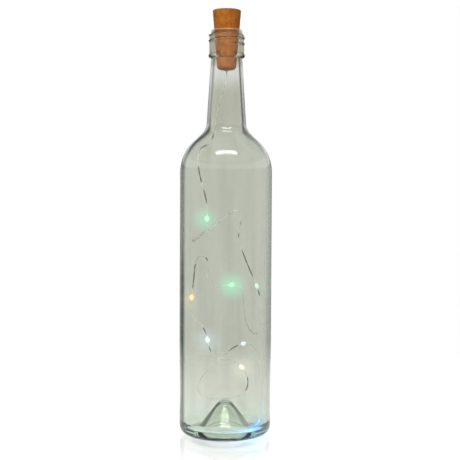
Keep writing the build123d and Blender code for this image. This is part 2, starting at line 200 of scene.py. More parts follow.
class TreeWriter:
    """Short way to write a node tree: adds nodes, sets or links their inputs."""

    def __init__(self, tree: NodeTree) -> None:
        """Keeps the tree that is written to."""
        self.tree = tree

    def add(self, kind: str, inputs: Inputs | None = None, **settings: Any) -> Node:
        """Adds a node.

        Args:
            kind: type of the node.
            inputs: a value, or a signal to link, for each input by its name or number.
            settings: the node's own properties.

        Returns:
            The new node.
        """
        node = self.tree.nodes.new(kind)
        for name, value in settings.items():
            setattr(node, name, value)
        for key, value in (inputs or {}).items():
            if isinstance(value, Signal):
                self.link(value, node.inputs[key])
            else:
                node.inputs[key].default_value = value
        return node

    def link(self, signal: Signal, socket: NodeSocket) -> None:
        """Links a signal to an input."""
        self.tree.links.new(signal.socket, socket)

    def value(self, kind: str, inputs: Inputs | None = None, output: Any = 0, **settings: Any) -> Signal:
        """Adds a node and returns one of its outputs, by name or number."""
        return Signal(self, self.add(kind, inputs, **settings).outputs[output])

    def math(self, operation: str, *values: Any) -> Signal:
        """Adds a Math node and returns its result."""
        return self.value("ShaderNodeMath", dict(enumerate(values)), operation=operation)

    def vector(self, operation: str, *values: Any) -> Signal:
        """Adds a Vector Math node and returns its vector."""
        return self.value("ShaderNodeVectorMath", dict(enumerate(values)), operation=operation)

    def scaled(self, vector: Signal, scale: Any) -> Signal:
        """Returns a vector times a number."""
        return self.value("ShaderNodeVectorMath", {0: vector, "Scale": scale}, operation="SCALE")

    def distance(self, place: Signal, centre: Any = ORIGIN) -> Signal:
        """Returns how far a place is from a centre."""
        return self.value("ShaderNodeVectorMath", {0: place, 1: centre}, "Value", operation="DISTANCE")

    def split(self, vector: Signal) -> list[Signal]:
        """Returns the three parts of a vector."""
        return [Signal(self, part) for part in self.add("ShaderNodeSeparateXYZ", {0: vector}).outputs]

    def combine(self, *parts: Signal) -> Signal:
        """Returns the vector that has these parts."""
        return self.value("ShaderNodeCombineXYZ", dict(enumerate(parts)))

    def ray(self, fact: str) -> Signal:
        """Returns a fact about the ray that meets the surface."""
        return self.value("ShaderNodeLightPath", output=fact)

    def bounced(self, kind: str) -> Signal:
        """Returns 1 for a ray that has left a surface of that kind before."""
        return self.ray(f"{kind} Depth").above(0.5)


class Shader(TreeWriter):
    """A material's node tree."""

    def __init__(self, name: str) -> None:
        """Starts an empty material.

        Args:
            name: its name.
        """
        self.material = bpy.data.materials.new(name)
        self.material.use_nodes = True
        super().__init__(self.material.node_tree)
        self.tree.nodes.clear()
        self.output = self.add("ShaderNodeOutputMaterial")

    def show(self, shader: Signal, part: str = "Surface") -> None:
        """Makes a shader the material's surface or volume."""
        self.link(shader, self.output.inputs[part])

    def show_mix(self, factor: Signal, first: Signal, second: Signal) -> None:
        """Makes a mix of two shaders the material's surface."""
        self.show(self.value("ShaderNodeMixShader", {0: factor, 1: first, 2: second}))

    def principled(self, **inputs: Any) -> Signal:
        """Makes a Principled shader the material's surface.

        Args:
            inputs: its inputs by name, with _ for each space.

        Returns:
            The shader.
        """
        named = {name.replace("_", " "): value for name, value in inputs.items()}
        shader = self.value("ShaderNodeBsdfPrincipled", named)
        self.show(shader)
        return shader

    def place(self, scale: Point = (1.0, 1.0, 1.0)) -> Signal:
        """Returns the piece's own coordinates, stretched by scale."""
        where = self.value("ShaderNodeTexCoord", output="Object")
        return self.value("ShaderNodeMapping", {"Vector": where, "Scale": scale})

    def attribute(self, name: str) -> Signal:
        """Returns a number that the mesh carries."""
        return self.value("ShaderNodeAttribute", output="Fac", attribute_name=name)

    def noise(self, scale: float, detail: float, stretch: Point = (1.0, 1.0, 1.0)) -> Signal:
        """Returns a soft noise from 0 to 1, with scale spots in a metre."""
        inputs = {"Vector": self.place(stretch), "Scale": scale, "Detail": detail}
        return self.value("ShaderNodeTexNoise", inputs)

    def between(self, share: Signal, low: float, high: float) -> Signal:
        """Returns the number at a share of the way from low to high."""
        return self.math("MULTIPLY_ADD", share, high - low, low)

    def blend(self, factor: Signal, low: Any, high: Any) -> Signal:
        """Returns a mix of two colours."""
        inputs = {"Factor": factor, 6: opaque(low), 7: opaque(high)}
        return self.value("ShaderNodeMix", inputs, 2, data_type="RGBA")

    def bump(self, height: Signal, strength: float, distance: float) -> Signal:
        """Returns a normal that follows a height, whose full range is distance metres."""
        inputs = {"Height": height, "Strength": strength, "Distance": distance}
        return self.value("ShaderNodeBump", inputs)


def opaque(colour: Any) -> Any:
    """Returns a colour with full alpha, and leaves a signal as it is."""
    return (*colour, 1.0) if isinstance(colour, tuple) else colour


@dataclass(frozen=True)
class ClearGlass:
    """Clear bottle glass with a light green body, a painted dark edge shade like the one thick walls
    show, and a painted glow of the lights in the wall beside them."""

    # Tints of the clear wall, and the heights where one passes into the next.
    base_tint: Colour = (0.88, 0.905, 0.85)
    body_tint: Colour = (0.87, 0.873, 0.815)
    neck_tint: Colour = (0.79, 0.785, 0.715)
    finish_tint: Colour = (0.97, 0.97, 0.94)
    base_height: Span = (0.022, 0.034)
    neck_height: Span = (0.232, 0.262)
    finish_height: Span = (0.274, 0.294)
    # The stopper's brown painted into the wall of the finish as its refraction, a band of painted shade
    # under the lip's rounded top, and a painted highlight on the lip above it.
    painted_stopper_refraction: Colour = (0.36, 0.285, 0.185)
    cork_height: Span = (0.294, 0.300)
    cork_turn: Span = (0.18, 0.30)
    outside_mark: float = 0.1
    painted_lip_shade: Colour = (0.52, 0.47, 0.42)
    lip_shade_height: Band = (0.3228, 0.3237, 0.3248, 0.3256)
    lip_height: Span = (0.3248, 0.3261)
    painted_lip_highlight: Colour = (2.2, 1.8, 1.15)
    # Faint upright streaks.
    streak_scale: float = 90.0
    streak_stretch: Point = (1.0, 1.0, 0.10)
    streak_span: Span = (0.42, 0.72)
    streak_depth: float = 0.92
    # Painted dark edge shade, and what takes some of it away: a paler rim, a side painted lighter as if
    # lit, and less half way up.
    painted_edge_shade: Colour = (0.026, 0.028, 0.022)
    edge_gloss: Colour = (0.45, 0.45, 0.42)
    edge_turn: Span = (0.46, 0.61)
    rim_turn: Span = (0.66, 0.86)
    rim_loss: float = 0.58
    lit_side: Span = (-0.004, 0.032)
    lit_side_loss: float = 0.46
    wane_height: Band = (0.12, 0.17, 0.205, 0.235)
    wane_loss: float = 0.16
    # Glass in depth, and what it lets through of the lamps' light.
    depth_tint: Colour = (0.58, 0.95, 0.76)
    density: float = 14.0
    index: float = 1.5
    lamp_tint: Colour = (0.97, 0.975, 0.95)
    # Painted glow of the small lights in the wall.
    glow_reach: float = 0.014
    glow_throw: Point = (0.0, -0.005, 0.0)
    glow_tint: float = 0.8
    glow_strength: float = 0.20

    def edge(self, turned: Signal, across: Signal, height: Signal) -> Signal:
        """Works out where the painted dark edge shade goes: less at its rim, on one side painted lighter
        as if lit, and half way up.

        Args:
            turned: how far the wall turns from view, times its mark.
            across: place from left to right.
            height: place above the floor.

        Returns:
            Share of the painted dark edge shade.
        """
        neck = height.step(*self.neck_height)
        rim = turned.step(*self.rim_turn) * height.step(*self.base_height) * self.rim_loss
        # Painted light: the edge on one side is painted lighter, as if light fell there.
        thin = (across * (1 - (neck + neck))).step(*self.lit_side) * self.lit_side_loss
        wane = height.band(*self.wane_height) * self.wane_loss
        return turned.step(*self.edge_turn) * (1 - rim) * (1 - thin) * (1 - wane)

    def tint(self, shader: Shader, height: Signal, beside: Signal) -> Signal:
        """Works out the tint of the clear wall from the foot up, with the stopper's painted refraction, a
        band of painted shade under the lip and faint upright streaks.

        Args:
            shader: the material.
            height: place above the floor.
            beside: share of the wall that is seen past the stopper's side, which takes the stopper's
                painted refraction.

        Returns:
            The tint.
        """
        tint: Any = self.base_tint
        for share, colour in [
            (height.step(*self.base_height), self.body_tint),
            (height.step(*self.neck_height), self.neck_tint),
            (height.step(*self.finish_height), self.finish_tint),
            # Painted refraction: the stopper's brown in the wall beside it.
            (beside * height.step(*self.cork_height), self.painted_stopper_refraction),
            # Painted shade in a band under the lip's rounded top.
            (height.band(*self.lip_shade_height), self.painted_lip_shade),
        ]:
            tint = shader.blend(share, tint, colour)
        streaks = shader.noise(self.streak_scale, detail=3.0, stretch=self.streak_stretch)
        return shader.blend(streaks.step(*self.streak_span), tint, shader.scaled(tint, self.streak_depth))

    def material(self, lights: Sequence[tuple[Vector, LightHue]]) -> Material:
        """Builds the material.

        Args:
            lights: place and colour of each light behind the glass.

        Returns:
            The material.
        """
        shader = Shader("clear_glass")
        where = shader.place()
        across, _, height = shader.split(where)
        facing = shader.value("ShaderNodeLayerWeight", {"Blend": 0.5}, "Facing")
        mark = shader.attribute("edge")
        edge = self.edge(facing * mark, across, height)
        # The stopper's painted refraction takes the outside of the wall where it turns part way from
        # view.
        tint = self.tint(shader, height, facing.step(*self.cork_turn) * mark.above(self.outside_mark))
        # Painted highlight: the lip's top glows.
        glow = shader.blend(mark * height.step(*self.lip_height), BLACK, self.painted_lip_highlight)
        # Painted glow: each light tints the glass around it and makes it glow.
        for place, hue in lights:
            gap = shader.distance(where, place + Vector(self.glow_throw))
            near = gap.step(self.glow_reach, 0.0) * hue.spread
            tint = shader.blend(near * self.glow_tint, tint, hue.rim)
            glow = shader.blend(near, glow, hue.core)
        # Painted dark edge shade in the base colour, with dimmer gloss there; painted glow as emission.
        glass = shader.principled(
            Base_Color=shader.blend(edge, tint, self.painted_edge_shade),
            Transmission_Weight=1.0,
            Roughness=0.0,
            IOR=self.index,
            Specular_Tint=shader.blend(edge, WHITE, self.edge_gloss),
            Emission_Color=glow,
            Emission_Strength=self.glow_strength,
        )
        lamps = shader.value("ShaderNodeBsdfTransparent", {"Color": opaque(self.lamp_tint)})
        shader.show_mix(shader.ray("Is Shadow Ray"), glass, lamps)
        depth = {"Color": opaque(self.depth_tint), "Density": self.density}
        shader.show(shader.value("ShaderNodeVolumeAbsorption", depth), "Volume")
        return shader.material


@dataclass(frozen=True)
class CorkPlastic:
    """Moulded plastic printed like cork: warm brown, darker clouds and short dark flecks."""

    warm: Colour = (0.50, 0.170, 0.020)
    deep: Colour = (0.40, 0.120, 0.012)
    fleck: Colour = (0.17, 0.050, 0.010)
    cloud_scale: float = 260.0
    cloud_span: Span = (0.38, 0.66)
    fleck_scale: float = 900.0
    fleck_stretch: Point = (1.0, 1.0, 0.45)
    fleck_span: Span = (0.60, 0.70)
    fleck_depth: float = 0.0002
    roughness: Span = (0.5, 0.7)

    def material(self) -> Material:
        """Builds the material.

        Returns:
            The material.
        """
        shader = Shader("cork_plastic")
        clouds = shader.noise(self.cloud_scale, detail=4.0).step(*self.cloud_span)
        flecks = shader.noise(self.fleck_scale, detail=2.0, stretch=self.fleck_stretch)
        flecks = flecks.step(*self.fleck_span)
        shader.principled(
            Base_Color=shader.blend(flecks, shader.blend(clouds, self.warm, self.deep), self.fleck),
            Roughness=shader.between(clouds, *self.roughness),
            Specular_IOR_Level=0.3,
            Normal=shader.bump(1 - flecks, strength=0.5, distance=self.fleck_depth),
        )
        return shader.material


@dataclass(frozen=True)
class EvenFinish:
    """A finish of one tone with a fine mottle, for metals, plastics and resins: its slot in the record,
    the CAD nodes that take it, and the colours of its lighter and darker spots."""

    slot: str
    nodes: tuple[str, ...]
    light: Colour
    dark: Colour
    metallic: float
    roughness: float
    grain: float = 700.0
    relief: float = 0.0001

    def material(self) -> Material:
        """Builds the material.

        Returns:
            The material.
        """
        shader = Shader(self.slot)
        mottle = shader.noise(self.grain, detail=4.0)
        shader.principled(
            Base_Color=shader.blend(mottle, self.dark, self.light),
            Metallic=self.metallic,
            Roughness=self.roughness,
            Normal=shader.bump(mottle, strength=0.15, distance=self.relief),
        )
        return shader.material


CELLS = ("cell_1", "cell_2", "cell_3")
CONTACTS = ("negative_contact", "side_contact", "positive_contact")
BLACK_PARTS = ("chip_resistor", "switch_slider")
FITTINGS: list[EvenFinish] = [
    EvenFinish("cell_steel", CELLS, (0.78, 0.78, 0.76), (0.62, 0.62, 0.61), 1.0, 0.28),
    EvenFinish("contact_brass", CONTACTS, (0.80, 0.62, 0.30), (0.62, 0.45, 0.18), 1.0, 0.32),
    EvenFinish("switch_steel", ("switch_case",), (0.66, 0.67, 0.68), (0.50, 0.51, 0.52), 1.0, 0.36),
    EvenFinish("board_laminate", ("circuit_board",), (0.05, 0.20, 0.09), (0.02, 0.12, 0.05), 0.0, 0.35),
    EvenFinish("black_plastic", BLACK_PARTS, (0.035, 0.033, 0.032), (0.016, 0.015, 0.015), 0.0, 0.45),
    EvenFinish("seal_resin", ("wire_seal",), (0.62, 0.58, 0.48), (0.50, 0.46, 0.38), 0.0, 0.25),
]


@dataclass(frozen=True)
class TwinWire:
    """Lacquered wire pair, painted pale in stretches and patches where it catches light and dark in
    stretches where it is shaded, one strand a little darker.
    """

    pale: Colour = (0.95, 0.95, 0.88)
    painted_shade: Colour = (0.06, 0.06, 0.045)
    painted_shade_share: float = 0.6
    patch_share: float = 0.35
    strand_share: float = 0.06
    painted_shade_span: Span = (0.45, 0.75)
    patch_scale: float = 75.0
    speck_scale: float = 900.0
    roughness: Span = (0.5, 0.8)

    def material(self) -> Material:
        """Builds the material.

        Returns:
            The material.
        """
        shader = Shader("wire_pair")
        # Painted light: noise patches and the marked stretches set where the wire is painted pale as lit
        # or dark as shaded; the darker strand is its own colour.
        tone = shader.noise(self.patch_scale, detail=1.0) * self.patch_share
        tone += shader.attribute("strand") * self.strand_share
        tone += shader.attribute("painted_shade") * self.painted_shade_share
        shader.principled(
            Base_Color=shader.blend(tone.step(*self.painted_shade_span), self.pale, self.painted_shade),
            Roughness=shader.between(shader.noise(self.speck_scale, detail=2.0), *self.roughness),
        )
        return shader.material


@dataclass(frozen=True)
class GlowingDrop:
    """Resin drop lit from inside by its chip, brightest over the chip."""

    hue: LightHue
    strength: float = 1.15
    core_span: Span = (0.0, 0.9)
    resin: Colour = (0.05, 0.05, 0.05)

    def material(self) -> Material:
        """Builds the material.

        Returns:
            The material.
        """
        shader = Shader(f"drop_{self.hue.slot}")
        core = shader.attribute("core").step(*self.core_span)
        shader.principled(
            Base_Color=opaque(self.resin),
            Roughness=0.12,
            Emission_Color=shader.blend(core, self.hue.rim, self.hue.core),
            Emission_Strength=self.strength,
        )
        return shader.material


@dataclass(frozen=True)
class GlowingChip:
    """Light chip that shines evenly."""

    hue: LightHue
    strength: float = 6.0
    grain: float = 2500.0

    def material(self) -> Material:
        """Builds the material.

        Returns:
            The material.
        """
        shader = Shader(self.hue.slot)
        shader.principled(
            Base_Color=shader.blend(shader.noise(self.grain, detail=1.0), self.hue.rim, self.hue.core),
            Roughness=0.3,
            Emission_Color=opaque(self.hue.core),
            Emission_Strength=self.strength,
        )
        return shader.material


def add_object(name: str, data: Any) -> Object:
    """Puts something new into the scene.

    Args:
        name: name of the new object.
        data: its mesh, curve, lamp or camera.

    Returns:
        The new object, at the origin.
    """
    thing = bpy.data.objects.new(name, data)
    bpy.context.scene.collection.objects.link(thing)
    return thing


def shown_mesh(thing: Object) -> Mesh:
    """Returns a plain mesh of what a curve or a mesh with a modifier shows."""
    graph = bpy.context.evaluated_depsgraph_get()
    return bpy.data.meshes.new_from_object(thing.evaluated_get(graph))


class GeometryTree(TreeWriter):
    """A Geometry Nodes tree with named inputs, used once on one object."""

    SOCKETS = {float: "NodeSocketFloat", int: "NodeSocketInt", Material: "NodeSocketMaterial"}

    def __init__(self, name: str, **sizes: Any) -> None:
        """Starts a tree.

        Args:
            name: name of the tree.
            sizes: its inputs beside the geometry, by name with _ for each space.
        """
        super().__init__(bpy.data.node_groups.new(name, "GeometryNodeTree"))
        face = self.tree.interface
        face.new_socket("Geometry", in_out="INPUT", socket_type="NodeSocketGeometry")
        face.new_socket("Geometry", in_out="OUTPUT", socket_type="NodeSocketGeometry")
        self.values: dict[str, Any] = {}
        for key, value in sizes.items():
            kind = self.SOCKETS[type(value)]
            socket = face.new_socket(key.replace("_", " "), in_out="INPUT", socket_type=kind)
            self.values[socket.identifier] = value
        self.entry = self.add("NodeGroupInput")
        self.exit = self.add("NodeGroupOutput")

    def size(self, name: str) -> Signal:
        """Returns a named input."""
        return Signal(self, self.entry.outputs[name])

    def position(self) -> Signal:
        """Returns the place of a point."""
        return self.value("GeometryNodeInputPosition")

    def stored(self, name: str, kind: str) -> Signal:
        """Returns what the points carry under a name."""
        return self.value("GeometryNodeInputNamedAttribute", {"Name": name}, data_type=kind)

    def store(self, geometry: Signal, name: str, value: Any) -> Signal:
        """Stores a number on each point and returns the geometry."""
        inputs = {"Geometry": geometry, "Name": name, "Value": value}
        return self.value("GeometryNodeStoreNamedAttribute", inputs, data_type="FLOAT", domain="POINT")

    def move(self, geometry: Signal, **places: Signal) -> Signal:
        """Moves each point by an Offset or to a Position and returns the geometry."""
        return self.value("GeometryNodeSetPosition", {"Geometry": geometry, **places})

    def finish(self, geometry: Signal, material: Signal) -> None:
        """Ends the tree: real geometry, smooth faces, one material.

        Args:
            geometry: what the tree has made.
            material: finish of all of it.
        """
        real = self.value("GeometryNodeRealizeInstances", {0: geometry})
        smooth = self.value("GeometryNodeSetShadeSmooth", {0: real})
        dressed = self.value("GeometryNodeSetMaterial", {"Geometry": smooth, "Material": material})
        self.link(dressed, self.exit.inputs[0])

    def settle(self, piece: Object) -> None:
        """Runs the tree on a mesh object, whose mesh becomes the result.

        Args:
            piece: mesh object that the tree reads and that keeps the result.
        """
        modifier = piece.modifiers.new(self.tree.name, "NODES")
        modifier.node_group = self.tree
        for identifier, value in self.values.items():
            modifier[identifier] = value
        mesh = shown_mesh(piece)
        piece.modifiers.remove(modifier)
        old = piece.data
        piece.data = mesh
        bpy.data.meshes.remove(old)
        mesh.name = piece.name


@dataclass(frozen=True)
class Corner:
    """Corner of a half section: its radius from the axis, its height and how far it is rounded."""

    radius: float
    height: float
    round: float = 0.0

    @property
    def place(self) -> Vector:
        """The corner as a point of the half section."""
        return Vector((self.radius, self.height))


def ray_meet(point_a: Vector, angle_a: float, point_b: Vector, angle_b: float) -> Vector:
    """Finds where two lines of the half section cross.

    Args:
        point_a: a point on the first line.
        angle_a: direction of the first line, in degrees from the radius.
        point_b: a point on the second line.
        angle_b: direction of the second line, in degrees.

    Returns:
        The crossing point.
    """
    along_a = Vector((math.cos(math.radians(angle_a)), math.sin(math.radians(angle_a))))
    along_b = Vector((math.cos(math.radians(angle_b)), math.sin(math.radians(angle_b))))
    apart = point_b - point_a
    share = apart.cross(along_b) / along_a.cross(along_b)
    return point_a + share * along_a


def add_stretch(outline: list[Vector], end: Vector, support: float) -> None:
    """Adds a straight stretch to an outline, with a support point near each of its ends.

    Args:
        outline: points so far; the stretch starts at the last one.
        end: end of the stretch.
        support: distance of a support point from its end.
    """
    start = outline[-1]
    length = (end - start).length
    if length > 4 * support:
        outline.append(start.lerp(end, support / length))
        outline.append(start.lerp(end, 1 - support / length))
    if length > TINY:
        outline.append(end)


def rounded_outline(corners: Sequence[Corner], facet: float, support: float) -> list[Vector]:
    """Turns corners into an outline of arcs and straight stretches.

    Args:
        corners: corners of the half section in order; the first and last are on the axis.
        facet: largest turn between two points of an arc, in radians.
        support: distance of a support point from the end of its straight stretch.

    Returns:
        The outline's points.
    """
    outline = [corners[0].place]
    for before, corner, after in zip(corners, corners[1:], corners[2:]):
        inward = (before.place - corner.place).normalized()
        onward = (after.place - corner.place).normalized()
        turn = math.pi - inward.angle(onward)
        reach = corner.round * math.tan(turn / 2)
        start = corner.place + inward * reach
        add_stretch(outline, start, support)
        centre = corner.place + (inward + onward).normalized() * corner.round / math.cos(turn / 2)
        steps = max(1, math.ceil(turn / facet)) if corner.round else 0
        spin = math.copysign(turn, (-inward).cross(onward))
        for step in range(1, steps + 1):
            outline.append(centre + Matrix.Rotation(spin * step / steps, 2) @ (start - centre))
    add_stretch(outline, corners[-1].place, support)
    return outline


def lathe(name: str, outline: Sequence[Vector], segments: int) -> Object:
    """Turns a half section about the Z axis into a closed mesh with outward faces.

    Args:
        name: name of the new piece.
        outline: points of the half section, from the axis round to the axis again.
        segments: steps of the full turn.

    Returns:
        The new piece.
    """
    form = bmesh.new()
    turns = [2 * math.pi * step / segments for step in range(segments)]
    rings: list[list[bmesh.types.BMVert]] = []
    for point in outline:
        if point.x < TINY:
            rings.append([form.verts.new((0.0, 0.0, point.y))] * segments)
            continue
        places = [(point.x * math.cos(turn), point.x * math.sin(turn), point.y) for turn in turns]
        rings.append([form.verts.new(place) for place in places])
    for low, high in zip(rings, rings[1:]):
        for step in range(segments):
            after = (step + 1) % segments
            corners = [low[step], low[after], high[after], high[step]]
            face = form.faces.new(list(dict.fromkeys(corners)))
            face.smooth = True
    bmesh.ops.recalc_face_normals(form, faces=form.faces)
    mesh = bpy.data.meshes.new(name)
    form.to_mesh(mesh)
    form.free()
    return add_object(name, mesh)


@dataclass
class Bottle:
    """Blown bottle: outside and inside in one closed wall, with a screw thread on its finish."""

    # Outside of the wall, from the foot up; angles are in degrees.
    heel_round: float = 0.0085
    foot_ring_width: float = 0.002
    foot_ring_round: float = 0.0026
    shoulder_height: float = 0.227
    shoulder_slope: float = 43.0
    shoulder_round: float = 0.034
    neck_round: float = 0.012
    neck_top_radius: float = 0.0126
    neck_taper: float = 3.6
    lip_radius: float = 0.0127
    lip_height: float = 0.004
    lip_round: float = 0.0015
    finish_radius: float = 0.014
    finish_height: float = 0.023
    finish_round: float = 0.0008
    bead_radius: float = 0.0146
    bead_height: float = 0.0042
    bead_flank: float = 0.0012
    bead_round: float = 0.0015
    step_round: float = 0.0005
    # Inside of the wall, and the punt.
    body_wall: float = 0.0038
    neck_wall: float = 0.003
    bore_radius: float = 0.0102
    bore_round: float = 0.034
    mouth_round: float = 0.0008
    channel_height: float = 0.0065
    channel_round: float = 0.006
    punt_height: float = 0.023
    punt_crown_radius: float = 0.0002
    punt_crown_round: float = 0.0045
    punt_glass: float = 0.0045
    punt_skirt_width: float = 0.0085
    punt_skirt_rise: float = 0.0026
    punt_flare_round: float = 0.005
    # Thread; its turns, lead and run-in are in turns.
    thread_start: float = 0.3152
    thread_pitch: float = 0.0047
    thread_turns: float = 1.75
    thread_lead: float = 0.3
    thread_run_in: float = 0.12
    thread_crest: float = 0.0007
    thread_half_width: float = 0.0011
    thread_ring: float = 0.0003
    # Share of the painted dark edge shade on each stretch, and the radius that the punt's shares reach
    # to.
    thread_edge: float = 2.4
    crown_edge: float = 0.40
    flank_edge: float = 1.08
    flank_reach: float = 0.022
    under_edge: float = 0.3
    under_reach: float = 0.018
    bead_edge: float = 1.0
    finish_edge: float = 0.62
    wall_edge: float = 0.65
    slim_edge: float = 0.0116
    # Fineness of the mesh.
    segments: int = 192
    facet: float = math.radians(4.0)
    support: float = 0.0005

    def corners(self) -> list[Corner]:
        """Lists the corners of the half section.

        Returns:
            The corners from the punt round the outside to the inside.
        """
        _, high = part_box("bottle")
        body_radius, height = high.x, high.z
        finish_bottom = height - self.finish_height
        bead_top = finish_bottom + self.bead_height
        lip_bottom = height - self.lip_height
        neck_angle = 90 + self.neck_taper
        slope_angle = 180 - self.shoulder_slope
        neck_foot = Vector((self.neck_top_radius, finish_bottom))
        shoulder = Vector((body_radius, self.shoulder_height))
        neck_base = ray_meet(shoulder, slope_angle, neck_foot, neck_angle)

        inner_radius = body_radius - self.body_wall
        slope_shift = self.body_wall / math.sin(math.radians(self.shoulder_slope))
        neck_shift = self.neck_wall / math.cos(math.radians(self.neck_taper))
        inner_slope = shoulder - Vector((slope_shift, 0))
        inner_neck = neck_foot - Vector((neck_shift, 0))
        inner_shoulder = ray_meet(Vector((inner_radius, 0)), 90, inner_slope, slope_angle)
        inner_base = ray_meet(inner_slope, slope_angle, inner_neck, neck_angle)
        bore_end = ray_meet(inner_neck, neck_angle, Vector((self.bore_radius, 0)), 90)

        ring_inner = body_radius - self.heel_round - self.foot_ring_width
        knee = Vector((ring_inner - self.punt_skirt_width, self.punt_skirt_rise))
        apex = Vector((self.punt_crown_radius, self.punt_height))
        reach = apex - Vector((0, self.punt_crown_round)) - knee
        fall = math.atan2(reach.y, -reach.x) + math.asin(self.punt_crown_round / reach.length)
        inner_crown_round = self.punt_crown_round + self.punt_glass
        crown = apex + Vector((self.punt_crown_round * math.tan(fall / 2), 0))
        inner_crown = apex + Vector((inner_crown_round * math.tan(fall / 2), self.punt_glass))
        channel = ray_meet(inner_crown, -math.degrees(fall), Vector((0, self.channel_height)), 0)
        return [
            Corner(0, self.punt_height),
            Corner(*crown, self.punt_crown_round),
            Corner(*knee, self.punt_flare_round),
            Corner(ring_inner, 0, self.foot_ring_round),
            Corner(body_radius, 0, self.heel_round),
            Corner(*shoulder, self.shoulder_round),
            Corner(*neck_base, self.neck_round),
            Corner(*neck_foot, self.step_round),
            Corner(self.bead_radius, finish_bottom + self.bead_flank, self.bead_round),
            Corner(self.bead_radius, bead_top - self.bead_flank, self.bead_round),
            Corner(self.finish_radius, bead_top, self.step_round),
            Corner(self.finish_radius, lip_bottom, self.finish_round),
            Corner(self.lip_radius, lip_bottom, self.step_round / 2),
            Corner(self.lip_radius, height, self.lip_round),
            Corner(self.bore_radius, height, self.mouth_round),
            Corner(*bore_end, self.bore_round),
            Corner(*inner_base, self.neck_round + self.neck_wall),
            Corner(*inner_shoulder, self.shoulder_round - self.body_wall),
            Corner(inner_radius, self.channel_height, self.channel_round),
            Corner(*channel, self.punt_flare_round),
            Corner(*inner_crown, inner_crown_round),
            Corner(0, self.punt_height + self.punt_glass),
        ]

    def outline(self) -> list[Vector]:
        """Rounds the corners and gives the finish the close rings that its thread needs.

        Returns:
            Points of the half section.
        """
        points = rounded_outline(self.corners(), self.facet, self.support)
        fine: list[Vector] = [points[0]]
        for start, end in zip(points, points[1:]):
            upright = abs(end.x - start.x) < TINY and min(start.x, end.x) > self.lip_radius
            steps = 1
            if upright and end.y > self.thread_start - self.thread_pitch:
                steps = math.ceil((end - start).length / self.thread_ring)
            fine += [start.lerp(end, step / steps) for step in range(1, steps + 1)]
        return fine

    def thread_tree(self, material: Material) -> GeometryTree:
        """Writes the tree that raises a right-hand thread on the finish.

        Args:
            material: glass of the bottle.

        Returns:
            The tree, with its sizes set.
        """
        tree = GeometryTree(
            "screw_thread",
            Start=self.thread_start,
            Pitch=self.thread_pitch,
            Turns=self.thread_turns,
            Lead=self.thread_lead,
            Crest=self.thread_crest,
            Half_Width=self.thread_half_width,
            Edge=self.thread_edge,
            Least_Radius=(self.lip_radius + self.bore_radius) / 2,
            Glass=material,
        )
        x, y, z = tree.split(tree.position())
        turned = tree.math("FLOORED_MODULO", tree.math("ARCTAN2", y, x) / (2 * math.pi), 1.0)
        gap = (z - tree.size("Start")) / tree.size("Pitch") - turned
        nearest = tree.math("ROUND", gap)
        along = nearest + turned
        off = tree.math("ABSOLUTE", gap - nearest) * tree.size("Pitch")
        swell = 1 - (off / tree.size("Half Width")).step(0.0, 1.0)
        run_in = (along + tree.size("Lead")).step(0.0, self.thread_run_in)
        run_out = (tree.size("Turns") - along).step(0.0, self.thread_run_in)
        flat = tree.combine(x, y)
        rise = swell * run_in * run_out * tree.distance(flat).above(tree.size("Least Radius"))
        push = tree.scaled(tree.vector("NORMALIZE", flat), rise * tree.size("Crest"))
        # The thread's ridge takes more of the painted dark edge shade.
        edge = tree.math("MAXIMUM", tree.stored("edge", "FLOAT"), rise * tree.size("Edge"))
        marked = tree.store(tree.size("Geometry"), "edge", edge)
        tree.finish(tree.move(marked, Offset=push), tree.size("Glass"))
        return tree

    def mark_edges(self, mesh: Mesh, outline: Sequence[Vector]) -> None:
        """Marks how much painted dark edge shade each ring of the wall takes: more where it is thick for
        its radius.

        Args:
            mesh: the turned bottle, ring after ring.
            outline: half section that it was turned from.
        """
        last = len(outline) - 1
        mouth = max(range(last), key=lambda number: outline[number].y)
        crown = self.punt_height + self.punt_glass
        finish_bottom = outline[mouth].y - self.finish_height
        marks: list[float] = []
        for place, point in enumerate(outline):
            rise = outline[min(place + 1, last)] - outline[max(place - 1, 0)]
            steep = abs(rise.y) / rise.length
            mark = 0.0
            if place > mouth and point.y < crown and TINY < point.x < self.flank_reach:
                mark = self.crown_edge + self.flank_edge * steep
            elif point.y < crown and point.x < self.under_reach:
                mark = self.under_edge
            elif place < mouth and point.y > finish_bottom:
                mark = self.bead_edge if point.y < finish_bottom + self.bead_height else self.finish_edge
            elif place < mouth:
                upright = steep if point.y > self.heel_round else 1.0
                mark = math.sqrt(upright) * (self.wall_edge + self.slim_edge / point.x)
            marks += [mark] * (1 if point.x < TINY else self.segments)
        mesh.attributes.new("edge", "FLOAT", "POINT").data.foreach_set("value", marks)

    def build(self, glass: Material) -> Object:
        """Makes the bottle and puts it in the place of its CAD node.

        Args:
            glass: its material.

        Returns:
            The bottle.
        """
        outline = self.outline()
        piece = lathe("glass_bottle", outline, self.segments)
        self.mark_edges(piece.data, outline)
        self.thread_tree(glass).settle(piece)
        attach(piece, "bottle")
        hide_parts("bottle")
        return piece


